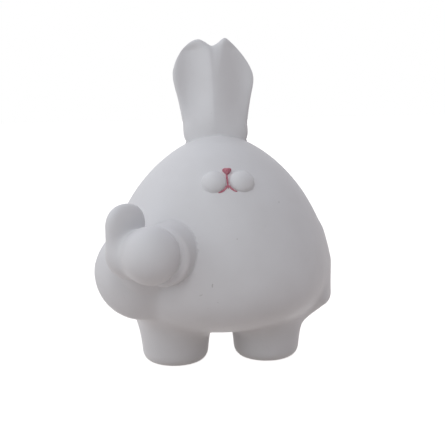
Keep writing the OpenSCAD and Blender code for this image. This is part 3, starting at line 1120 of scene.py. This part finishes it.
@dataclass
class RaisedArm(Casting):
    """The arm that bends forward: a round elbow, a forearm to the wrist, an upper arm to the shoulder."""

    torso: Torso
    elbow_place: Triple = (59.5, 86.5, 15.4)
    wrist_offset: Triple = (1.8, -22.0, 11.5)
    shoulder_place: Triple = (92.0, 114.0, 26.0)
    elbow_radius: float = 37.5
    wrist_radius: float = 20.0
    shoulder_radius: float = 20.0
    upper_share: float = 0.9
    blend: float = 14.0
    fillet: float = 7.0

    node = "raised_arm"
    rays = Rays(rings=220, around=260, pole=(0.84, 0.5, 0.2), far=120.0)

    @property
    def start(self) -> np.ndarray:
        """The elbow's middle, set into the body's side."""
        return self.torso.body.inside(*self.elbow_place)

    def gap(self, p: np.ndarray) -> np.ndarray:
        """Gap to the arm: forearm and upper arm joined with a wide fillet.

        Args:
            p: points, one a row.

        Returns:
            The gap at each point.
        """
        elbow = self.start
        shoulder = self.torso.body.inside(*self.shoulder_place)
        fore = limb_gap(p, elbow, elbow + self.wrist_offset, self.elbow_radius, self.wrist_radius)
        upper = limb_gap(p, elbow, shoulder, self.elbow_radius * self.upper_share, self.shoulder_radius)
        return filleted(fore, upper, self.blend)

    def neighbour_gap(self, p: np.ndarray) -> np.ndarray:
        """Gap to body and legs."""
        return self.torso.gap(p)

    def joined_gap(self, p: np.ndarray) -> np.ndarray:
        """Gap to arm and torso joined, which the hand is seated on."""
        return filleted(self.gap(p), self.torso.gap(p), self.fillet, 3)


@dataclass
class ThumbsUpHand(Casting):
    """The hand: a ball of curled fingers, a palm that stands on the body like a post, and the thumb."""

    arm: RaisedArm
    fist_offset: Triple = (2.6, -54.0, 23.9)
    fist_radius: float = 22.3
    palm_offset: Triple = (7.0, 6.2, -2.7)
    palm_radius: float = 23.8
    palm_length: float = 40.0
    palm_edge: float = 4.0
    palm_turn: float = -28.0
    heel_offset: Triple = (-14.5, 13.0, -4.5)
    heel_radius: float = 15.8
    thumb_offset: Triple = (-17.5, 18.0, 20.2)
    thumb_half: Triple = (18.8, 9.0, 17.0)
    thumb_drop: float = 17.0
    thumb_turn: float = 42.0
    thumb_power: float = 2.2
    start_offset: Triple = (-10.8, 22.0, -4.4)
    crease: float = 2.0
    finger_blend: float = 4.0
    blend: float = 9.0
    fillet: float = 1.2

    node = "thumbs_up_hand"
    name = "hand_casting"
    rays = Rays(rings=260, around=300, pole=(0.35, 0.9, -0.25), far=90.0)

    @property
    def fist(self) -> np.ndarray:
        """Middle of the ball of curled fingers, before the elbow."""
        return self.arm.start + self.fist_offset

    @property
    def start(self) -> np.ndarray:
        """A place between fingers, palm and thumb."""
        return self.fist + self.start_offset

    def thumb_gap(self, p: np.ndarray) -> np.ndarray:
        """Gap to the thumb, an upright pill whose section is fuller than an oval.

        n is the power mean length of the points in units of the half axes, after they have been moved up
        to the thumb's tip by at most the drop. The gap is n less 1, over the slope of n.

        Args:
            p: points, one a row.

        Returns:
            The gap at each point.
        """
        q = turned(p - self.fist - self.thumb_offset, self.thumb_turn)
        q[:, 2] += np.clip(-q[:, 2], 0.0, self.thumb_drop)
        u = np.maximum(np.abs(q) / self.thumb_half, 1e-6)
        n = (u**self.thumb_power).sum(axis=1) ** (1 / self.thumb_power)
        slope = np.linalg.norm((u / n[:, None]) ** (self.thumb_power - 1) / self.thumb_half, axis=1)
        return (n - 1) / slope

    def gap(self, p: np.ndarray) -> np.ndarray:
        """Gap to the hand: thumb, heel and fingers run together, and meet the palm in a narrow crease.

        Args:
            p: points, one a row.

        Returns:
            The gap at each point.
        """
        q = turned(p - self.fist - self.palm_offset, self.palm_turn)
        round_side = np.hypot(q[:, 0], q[:, 2]) - self.palm_radius
        ends = np.maximum(-q[:, 1], q[:, 1] - self.palm_length)
        palm = rounded_corner(round_side, ends, self.palm_edge)
        fingers = ball_gap(p, self.fist, self.fist_radius)
        heel = ball_gap(p, self.fist + self.heel_offset, self.heel_radius)
        side = filleted(heel, self.thumb_gap(p), self.blend)
        return filleted(palm, filleted(fingers, side, self.finger_blend), self.crease)

    def neighbour_gap(self, p: np.ndarray) -> np.ndarray:
        """Gap to arm and torso."""
        return self.arm.joined_gap(p)


@dataclass
class HangingArm(Casting):
    """The arm that hangs flat against the side like a flipper, with its tip drawn in to the leg."""

    torso: Torso
    turn: float = -6.0
    flat: float = 0.5
    radius: float = 13.0
    tip_proud: float = 2.75
    tip_z: float = 56.0
    middle_proud: float = 2.0
    middle_z: float = 84.0
    top_cover: float = 0.5
    top_z: float = 106.0
    foot_radius: float = 11.0
    foot_overlap: float = 4.5
    foot_z: float = 39.5
    start_share: float = 0.25
    start_depth: float = 6.0
    fillet: float = 7.0

    node = "hanging_arm"
    rays = Rays(rings=200, around=240, pole=(-1.0, 0.1, 0.25), far=90.0)

    def _middles(self) -> np.ndarray:
        """Middles of the flipper's tip, middle, top and foot in the arm's own frame.

        Returns:
            The four places, one a row.
        """
        body, leg = self.torso.body, self.torso.legs[1]
        middle_skin, top_skin = body.radius_at(np.array([self.middle_z, self.top_z]))
        return np.array([
            [body.radius + self.tip_proud - self.radius, 0.0, self.tip_z],
            [middle_skin + self.middle_proud - self.radius, 0.0, self.middle_z],
            [top_skin - self.top_cover - self.radius, 0.0, self.top_z],
            [leg.reach_x + leg.radius - self.foot_overlap, 0.0, self.foot_z],
        ])

    @property
    def start(self) -> np.ndarray:
        """A place between tip and middle, set in from both."""
        place = self._middles()[:2].T @ [1 - self.start_share, self.start_share]
        return turned(place[None] - [self.start_depth, 0.0, 0.0], -self.turn)

    def gap(self, p: np.ndarray) -> np.ndarray:
        """Gap to the flipper: three limbs in a frame that is turned and drawn out along the body's side.

        Args:
            p: points, one a row.

        Returns:
            The gap at each point.
        """
        tip, middle, top, foot = self._middles()
        q = turned(p, self.turn)
        q[:, 1] *= self.flat
        low = limb_gap(q, tip, middle, self.radius, self.radius)
        high = limb_gap(q, middle, top, self.radius, self.radius)
        return np.minimum.reduce([low, high, limb_gap(q, tip, foot, self.radius, self.foot_radius)])

    def neighbour_gap(self, p: np.ndarray) -> np.ndarray:
        """Gap to body and legs."""
        return self.torso.gap(p)


@dataclass
class Tail(Casting):
    """The tail, a ball set into the back."""

    body: BodyShell
    radius: float = 17.0
    height: float = 62.0
    sink: float = 7.0
    start_depth: float = 4.0
    swell: float = 0.25
    waves: Triple = (0.42, 0.33, 0.38)
    shifts: Triple = (1.0, 0.6, 0.0)
    fillet: float = 3.5

    node = "tail"
    rays = Rays(rings=130, around=160, pole=(0.0, -1.0, 0.0), far=50.0)

    @property
    def middle(self) -> np.ndarray:
        """The ball's middle."""
        return np.array([0.0, float(self.body.radius_at(self.height)) - self.sink, self.height])

    @property
    def start(self) -> np.ndarray:
        """A place inside both tail and body."""
        return self.middle - [0.0, self.start_depth, 0.0]

    def gap(self, p: np.ndarray) -> np.ndarray:
        """Gap to the ball, with shallow swells inside its skin: the product of a sine along each axis.

        Args:
            p: points, one a row.

        Returns:
            The gap at each point.
        """
        wave = np.sin((p - self.middle) * self.waves + self.shifts).prod(axis=1)
        return ball_gap(p, self.middle, self.radius) + self.swell * (1 + wave)

    def neighbour_gap(self, p: np.ndarray) -> np.ndarray:
        """Gap to the body."""
        return self.body.gap(p)


@dataclass
class Face:
    """Where the face lies on the body: the height of the muzzle's middle, and how far left it stands."""

    body: BodyShell
    height: float = 159.5
    left: float = 0.8

    @property
    def tilt(self) -> float:
        """The face's slope against the upright, in radians."""
        low, high = self.body.radius_at(np.array([self.height - 0.1, self.height + 0.1]))
        return math.atan2(low - high, 0.2)

    def point(self, across: np.ndarray | float, up: np.ndarray | float, fill_glow: float) -> np.ndarray:
        """A place on the face, lifted off it along the body's own normal.

        Args:
            across: distance to the right of the muzzle's middle.
            up: distance up along the face.
            fill_glow: distance off the face.

        Returns:
            The points.
        """
        x = np.asarray(across, float) - self.left
        z = self.height + np.asarray(up, float) * math.cos(self.tilt)
        r = self.body.radius_at(z)
        y = -np.sqrt(r * r - x * x)
        level, rise = math.cos(self.tilt), np.full_like(x, math.sin(self.tilt))
        off = np.stack([x / r * level, y / r * level, rise], axis=-1)
        return np.stack([x, y, np.broadcast_to(z, x.shape)], axis=-1) + off * fill_glow

    def axes(self, across: float) -> np.ndarray:
        """Across, up and off the face at a place on it.

        Args:
            across: distance to the right of the muzzle's middle.

        Returns:
            The three directions, one a row.
        """
        turn = math.asin((across - self.left) / float(self.body.radius_at(self.height)))
        level = math.cos(self.tilt)
        right = np.array([math.cos(turn), math.sin(turn), 0.0])
        off = np.array([math.sin(turn) * level, -math.cos(turn) * level, math.sin(self.tilt)])
        return np.stack([right, np.cross(off, right), off])


@dataclass
class MuzzlePad(Casting):
    """One of the two oval pads, whose widths differ a little."""

    side: Side
    face: Face
    widths: tuple[float, float] = (19.2, 20.6)
    height: float = 19.3
    fill_glow: float = 7.0
    apart: float = 1.8
    start_depth: float = 1.5
    fillet: float = 0.8

    @property
    def node(self) -> str:
        """The CAD node that it stands for."""
        return f"{self.side.word}_muzzle_pad"

    @property
    def name(self) -> str:
        """The piece's name."""
        return f"{self.side.word}_muzzle_casting"

    @property
    def width(self) -> float:
        """The pad's width."""
        return self.widths[0] if self.side is Side.LEFT else self.widths[1]

    @property
    def across(self) -> float:
        """How far across the face its middle lies."""
        return self.side.value * (self.width + self.apart) / 2

    @property
    def start(self) -> np.ndarray:
        """A place under the pad's middle."""
        return self.face.point(self.across, 0.0, -self.start_depth)

    @property
    def rays(self) -> Rays:
        """Lines whose last pole points into the face."""
        return Rays(rings=120, around=160, pole=-self.face.axes(self.across)[2], far=30.0)

    def gap(self, p: np.ndarray) -> np.ndarray:
        """Gap to an oval: n (n - 1) over the slope's length, with n the length in units of the half axes.

        Args:
            p: points, one a row.

        Returns:
            The gap at each point.
        """
        half = np.array([self.width / 2, self.height / 2, self.fill_glow])
        u = (p - self.face.point(self.across, 0.0, 0.0)) @ self.face.axes(self.across).T / half
        n = np.linalg.norm(u, axis=1)
        return n * (n - 1.0) / np.maximum(np.linalg.norm(u / half, axis=1), 1e-9)

    def neighbour_gap(self, p: np.ndarray) -> np.ndarray:
        """Gap to the body."""
        return self.face.body.gap(p)


@dataclass
class Nose:
    """The small pink nose between the tops of the pads, a rounded triangle that points down."""

    face: Face
    across: float = 0.6
    up: float = 9.8
    proud: float = 0.9
    width: float = 5.9
    height: float = 4.5
    fill_glow: float = 3.6
    power: float = 3.0
    fullness: float = 1.5
    sides: tuple[tuple[float, float], ...] = ((0.0, 1.0), (0.86, -0.5), (-0.86, -0.5))

    @property
    def middle(self) -> np.ndarray:
        """The nose's middle."""
        return self.face.point(self.across, self.up, self.proud)

    def gap(self, p: np.ndarray) -> np.ndarray:
        """The length of rim share and lift share, less 1.

        The rim share is the root of the fullness times the sum of the distances towards the three sides,
        each raised to the power that the root undoes.

        Args:
            p: points, one a row.

        Returns:
            The gap at each point, in shares.
        """
        half = (self.width / 2, self.height / 2, self.fill_glow)
        q = (p - self.middle) @ self.face.axes(self.across).T / half
        towards = np.maximum(q[:, :2] @ np.transpose(self.sides), 0.0)
        rim = (towards**self.power * self.fullness).sum(axis=1) ** (1 / self.power)
        return np.hypot(rim, q[:, 2]) - 1

    def build(self, finish: bpy.types.Material) -> bpy.types.Object:
        """Makes the nose, in the pink paint."""
        rays = Rays(rings=70, around=100, pole=-self.face.axes(self.across)[2], far=20.0)
        return grid_piece("nose_paint", [rays.skin(self.gap, self.middle)], "nose", finish)


@dataclass
class Mouth:
    """The mouth's painted line: a stem down between the pads, and a branch out below each of them."""

    face: Face
    pads: tuple[MuzzlePad, MuzzlePad]
    width: float = 1.4
    relief: float = 0.45
    fill_glow: float = 0.25
    stem_top: float = 8.0
    stem_length: float = 14.5
    branch_start: float = 18.0
    branch_ends: tuple[float, float] = (78.0, 66.0)
    end_power: float = 7.0
    thinning: float = 0.25
    steps: int = 60
    around: int = 20

    def _paths(self) -> list[np.ndarray]:
        """The line on the face: a straight stem, and branches on ovals that pass round each pad.

        Returns:
            Across and up, shaped steps, 2, for the stem and the two branches.
        """
        t = np.linspace(0.0, 1.0, self.steps)
        paths = [np.stack([0.0 * t, self.stem_top - t * self.stem_length], axis=1)]
        for pad, end in zip(self.pads, self.branch_ends):
            a = np.radians(self.branch_start + t * (end - self.branch_start))
            across = pad.across - pad.side.value * (pad.width + self.width) / 2 * np.cos(a)
            paths.append(np.stack([across, -(pad.height + self.width) / 2 * np.sin(a)], axis=1))
        return paths

    def _stroke(self, path: np.ndarray) -> np.ndarray:
        """An oval section carried along a path on the face, thinner towards its end and closed at both.

        Its size is the root of 1 less a power of t, times 1 less a share of t, with t from -1 to 1.

        Args:
            path: across and up, one a row.

        Returns:
            Points, shaped steps, around, 3.
        """
        line = self.face.point(path[:, 0], path[:, 1], self.fill_glow)
        off = self.face.axes(0.0)[2]
        across = np.cross(off, np.gradient(line, axis=0))
        across /= np.linalg.norm(across, axis=1, keepdims=True)
        t = np.linspace(-1.0, 1.0, self.steps)[:, None, None]
        size = np.sqrt(1 - np.abs(t) ** self.end_power) * (1 - self.thinning * t)
        a = 2 * np.pi * np.arange(self.around)[None, :, None] / self.around
        section = np.cos(a) * across[:, None] * self.width / 2 + np.sin(a) * off * self.relief
        return line[:, None] + section * size

    def build(self, finish: bpy.types.Material) -> bpy.types.Object:
        """Makes the mouth, in the pink paint."""
        strokes = [self._stroke(path) for path in self._paths()]
        return grid_piece("mouth_paint", strokes, "mouth_line", finish)


@dataclass
class BaseStopper:
    """The soft plug of the casting hole: a dished flange with a grip ring, and a plug with sealing ribs.

    Each row of the dish is a radius, a height over the flange's underside and a rounding.
    """

    body: BodyShell
    flange_radius: float = 12.0
    flange: float = 2.0
    plug_radius: float = 8.92
    length: float = 12.0
    rib: float = 0.35
    rib_half: float = 0.8
    rib_heights: tuple[float, float] = (3.0, 7.4)
    chamfer: float = 1.2
    chamfer_height: float = 1.0
    around: int = 160
    dish: tuple[Triple, ...] = (
        (0.0, 0.9, 0.0),
        (6.0, 0.9, 0.5),
        (6.8, 0.1, 0.3),
        (7.8, 0.1, 0.3),
        (8.3, 0.5, 0.2),
        (10.3, 0.5, 0.2),
        (10.9, 0.0, 0.2),
    )

    def build(self, finish: bpy.types.Material) -> bpy.types.Object:
        """Makes the stopper, turned from one profile.

        Args:
            finish: the vinyl.

        Returns:
            The piece.
        """
        seat = self.body.recess_top
        low = seat - self.flange
        top = seat + self.length
        neck = self.plug_radius - self.rib
        corners = [(r, low + up, cut) for r, up, cut in self.dish]
        corners += [(self.flange_radius, low, 0.4), (self.flange_radius, seat, 0.4), (neck, seat, 0.2)]
        for height in self.rib_heights:
            z = seat + height
            corners += [(neck, z - self.rib_half, 0.2), (self.plug_radius, z, 0.3)]
            corners += [(neck, z + self.rib_half, 0.2)]
        corners += [(neck, top - self.chamfer_height, 0.4), (neck - self.chamfer, top, 0.3)]
        corners += [(0.0, top, 0.0)]
        grid = turned_grid(rounded_profile(corners), self.around, (0.0, self.body.hole_y))
        return grid_piece("vinyl_stopper", [grid], "base_stopper", finish, "stopper")


@dataclass
class Figure:
    """The whole figurine, in the order that it is put together.

    Marks are rubbed spots: across and height on the body, half width, half height, tilt and depth.
    """

    dowels: tuple[str, ...] = (
        "ear_pins",
        "arm_pin",
        "hand_pin",
        "hanging_arm_pin",
        "leg_pins",
        "tail_pin",
    )
    marks: tuple[tuple[float, ...], ...] = (
        (-18.0, 85.0, 0.55, 1.5, 8.0, 0.6),
        (-26.5, 77.3, 1.8, 0.5, -30.0, 0.35),
        (2.3, 119.0, 0.7, 0.6, 0.0, 0.35),
        (40.0, 142.6, 0.8, 0.6, 20.0, 0.3),
        (-14.0, 71.5, 0.8, 0.4, 40.0, 0.4),
    )

    def scuffs(self, body: BodyShell) -> tuple[Scuff, ...]:
        """The rubbed marks, laid on the front of the body's skin.

        Args:
            body: the casting that they are on.

        Returns:
            The marks, in the frame that materials read.
        """
        scuffs = []
        for x, z, wide, high, tilt, depth in self.marks:
            y = -math.sqrt(float(body.radius_at(z)) ** 2 - x * x)
            scuffs.append(Scuff(tuple(AXIS + [x, y, z]), (wide, high), tilt, depth))
        return tuple(scuffs)

    def build(self) -> None:
        """Builds every piece and dresses the dowels that stay as they are."""
        body = BodyShell()
        marked = SatinWhitePaint(name="satin_white_with_scuffs", scuffs=self.scuffs(body)).build()
        white, pink = SatinWhitePaint().build(), DustyPinkPaint().build()
        felt, steel = PressedFelt().build(), CutSteelRod().build()
        body.build(marked)
        legs = (Leg(Side.LEFT, body), Leg(Side.RIGHT, body))
        torso = Torso(body, legs)
        arm = RaisedArm(torso)
        face = Face(body)
        pads = (MuzzlePad(Side.LEFT, face), MuzzlePad(Side.RIGHT, face))
        for leg in legs:
            leg.build(white)
            FootPad(leg).build(felt)
        for casting in (Ears(body), arm, ThumbsUpHand(arm), HangingArm(torso), *pads):
            casting.build(white)
        for paint in (Nose(face), Mouth(face, pads)):
            paint.build(pink)
        Tail(body).build(white)
        BaseStopper(body).build(SoftVinyl().build())
        for name in self.dowels:
            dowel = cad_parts[name]
            dowel.data.materials.clear()
            dowel.data.materials.append(steel)
            log.info("%s: steel", name)


# The studio


def hang(
    name: str, data: bpy.types.ID, right: np.ndarray, back: np.ndarray, place: np.ndarray
) -> bpy.types.Object:
    """Puts a camera or a lamp into the scene.

    Args:
        name: its name.
        data: the camera or lamp.
        right: direction to its right.
        back: direction away from what it faces.
        place: where it stands, in metres.

    Returns:
        The new object.
    """
    thing = bpy.data.objects.new(name, data)
    bpy.context.scene.collection.objects.link(thing)
    turn = np.eye(4)
    turn[:3] = np.stack([right, np.cross(back, right), back, place], axis=1)
    thing.matrix_world = Matrix(turn.tolist())
    return thing


@dataclass(frozen=True)
class SkyLobe:
    """A soft patch of light far away, round from the front towards the right, and up."""

    azimuth: float
    elevation: float
    colour: Triple


@dataclass
class Studio:
    """White floor and surroundings, soft light from above and from the left, and the camera."""

    target: Triple = (3.29, 0.0, 116.95)
    azimuth: float = -8.11
    elevation: float = 10.11
    roll: float = -0.60
    distance: float = 800.0
    scale: float = 0.854
    frame_pixels: int = 445
    film: float = 36.0
    lobes: tuple[SkyLobe, ...] = (
        SkyLobe(0, 50, (1.6, 1.6, 1.68)),
        SkyLobe(180, 50, (1.04, 1.04, 1.17)),
        SkyLobe(108, 15, (0.36, 0.3, 0.32)),
        SkyLobe(252, 15, (1.3, 1.24, 1.27)),
        SkyLobe(288, 15, (0.855, 0.935, 0.975)),
    )
    spread: float = 7.0
    key_power: float = 1.2
    key_size: float = 0.3
    key_place: Triple = (-0.22, -0.94, 1.27)
    key_aim: Triple = (0.0, 0.0, 0.12)
    floor_half: float = 3.0
    floor_tone: Triple = (0.52, 0.49, 0.47)
    floor_glow: Triple = (0.088, 0.07, 0.062)
    floor_white: Triple = (0.92, 0.92, 0.92)

    def _camera(self) -> None:
        """Sets the camera on a line from its target, at the photograph's angle and rolled a little."""
        back = direction(self.azimuth, self.elevation)
        level, roll = direction(self.azimuth + 90, 0.0), math.radians(self.roll)
        right = level * math.cos(roll) + np.cross(back, level) * math.sin(roll)
        data = bpy.data.cameras.new("portrait_camera")
        data.sensor_fit = "HORIZONTAL"
        data.sensor_width = self.film
        data.lens = self.film * self.distance / self.scale / self.frame_pixels
        data.clip_start = 0.01
        place = (AXIS + self.target + back * self.distance) * MM
        bpy.context.scene.camera = hang("portrait_camera", data, right, back, place)

    def _world(self) -> None:
        """White where it is seen; for light, a sum of lobes, each a power of a cosine."""
        world = bpy.data.worlds.new("studio_surroundings")
        bpy.context.scene.world = world
        board = NodeBoard(world, "World")
        place = board.add("ShaderNodeTexCoord").outputs["Generated"]
        light = (0.0, 0.0, 0.0)
        for lobe in self.lobes:
            towards = direction(lobe.azimuth, lobe.elevation)
            facing = board.add("ShaderNodeVectorMath", {0: place, 1: towards}, operation="DOT_PRODUCT")
            above = board.sum("MAXIMUM", facing.outputs["Value"], 0.0)
            soft = board.sum("POWER", above, self.spread)
            tint = {0: lobe.colour, "Scale": soft}
            tinted = board.add("ShaderNodeVectorMath", tint, operation="SCALE")
            both = board.add("ShaderNodeVectorMath", {0: light, 1: tinted.outputs[0]}, operation="ADD")
            light = both.outputs[0]
        glow = board.add("ShaderNodeBackground", {"Color": light})
        white = board.add("ShaderNodeBackground", {"Color": (1.0, 1.0, 1.0)})
        seen = board.seen_directly()
        board.show(board.add("ShaderNodeMixShader", {0: seen, 1: glow.outputs[0], 2: white.outputs[0]}))

    def _floor(self) -> None:
        """A wide floor, white where it is seen but for the figure's faint shadow, and grey for light, with
        a faint warm glow that lights the figure as fill light from below.
        """
        half = self.floor_half
        mesh = bpy.data.meshes.new("studio_floor")
        corners = [(-half, -half, 0), (half, -half, 0), (half, half, 0), (-half, half, 0)]
        mesh.from_pydata(corners, [], [(0, 1, 2, 3)])
        floor = bpy.data.objects.new("studio_floor", mesh)
        bpy.context.scene.collection.objects.link(floor)
        board = NodeBoard(bpy.data.materials.new("white_floor"))
        plain = board.add("ShaderNodeBsdfDiffuse", {"Color": self.floor_tone})
        # Fill light: for light rays the floor gives off a faint warm glow that lights the figure from
        # below, as bounce off the floor would
        glow = board.blend(board.seen_directly(), self.floor_glow, self.floor_white)
        fill_glow = board.add("ShaderNodeEmission", {"Color": glow})
        board.show(board.add("ShaderNodeAddShader", {0: plain.outputs[0], 1: fill_glow.outputs[0]}))
        mesh.materials.append(board.owner)

    def _key_light(self) -> None:
        """Hangs a small soft lamp above and before the figure's left, facing it."""
        data = bpy.data.lights.new("key_light", "AREA")
        data.shape = "SQUARE"
        data.size = self.key_size
        data.energy = self.key_power
        back = np.asarray(self.key_place) - self.key_aim
        back /= np.linalg.norm(back)
        right = np.cross([0.0, 0.0, 1.0], back)
        hang("key_light", data, right / np.linalg.norm(right), back, np.asarray(self.key_place))

    def build(self) -> None:
        """Sets up camera, surroundings, floor and lamp."""
        bpy.context.scene.view_settings.view_transform = "Standard"
        self._camera()
        self._world()
        self._floor()
        self._key_light()


def main() -> None:
    """Builds the studio and the figure."""
    logging.basicConfig(level=logging.INFO, format="%(name)s: %(message)s")
    Studio().build()
    Figure().build()


if __name__ == "__main__":
    main()
